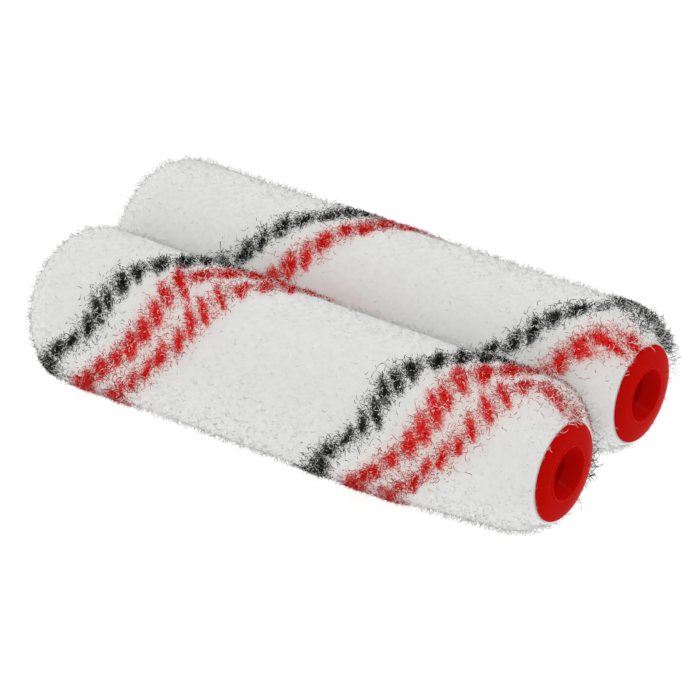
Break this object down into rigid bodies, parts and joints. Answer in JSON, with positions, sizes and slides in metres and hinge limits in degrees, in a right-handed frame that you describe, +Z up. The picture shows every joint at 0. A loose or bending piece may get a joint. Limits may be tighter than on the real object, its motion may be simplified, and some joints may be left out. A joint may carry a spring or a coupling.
{
  "type": "mini paint roller refill pair",
  "caption": "Pair of mini paint roller refills with white plush pile, slanting dark and red yarn rows, red funnel end caps and padded far ends.",
  "frame": {"origin": "on the surface the refills lie on, under the middle of the pair", "axes": "+X from the padded ends to the red end caps along both roller axes, +Y from the front refill to the rear one, +Z up"},
  "size_m": [0.114, 0.06, 0.0298],
  "materials": {
    "core_plastic": "natural polypropylene, matte",
    "backing_fabric": "tight woven polyester",
    "white_pile": "long curly plush pile",
    "dark_yarn": "curly plush pile",
    "red_yarn": "curly plush pile",
    "red_plastic": "satin moulded"
  },
  "bodies": {
    "front_refill": {"front_core_tube": "core_plastic", "front_woven_backing": "backing_fabric", "front_white_pile": "white_pile", "front_dark_yarn": "dark_yarn", "front_wide_red_yarn": "red_yarn", "front_narrow_red_yarn": "red_yarn", "front_end_cap": "red_plastic", "front_wire_bearing": "core_plastic", "front_end_plug": "core_plastic", "front_end_pad": "white_pile"},
    "rear_refill": {"rear_core_tube": "core_plastic", "rear_woven_backing": "backing_fabric", "rear_white_pile": "white_pile", "rear_dark_yarn": "dark_yarn", "rear_wide_red_yarn": "red_yarn", "rear_end_cap": "red_plastic", "rear_wire_bearing": "core_plastic", "rear_end_plug": "core_plastic", "rear_end_pad": "white_pile"}
  },
  "joints": [
    {"name": "rear_set_apart", "type": "slide", "parent": "front_refill", "child": "rear_refill", "axis": [0, 1, 0], "range_m": [0, 0.06]}
  ]
}
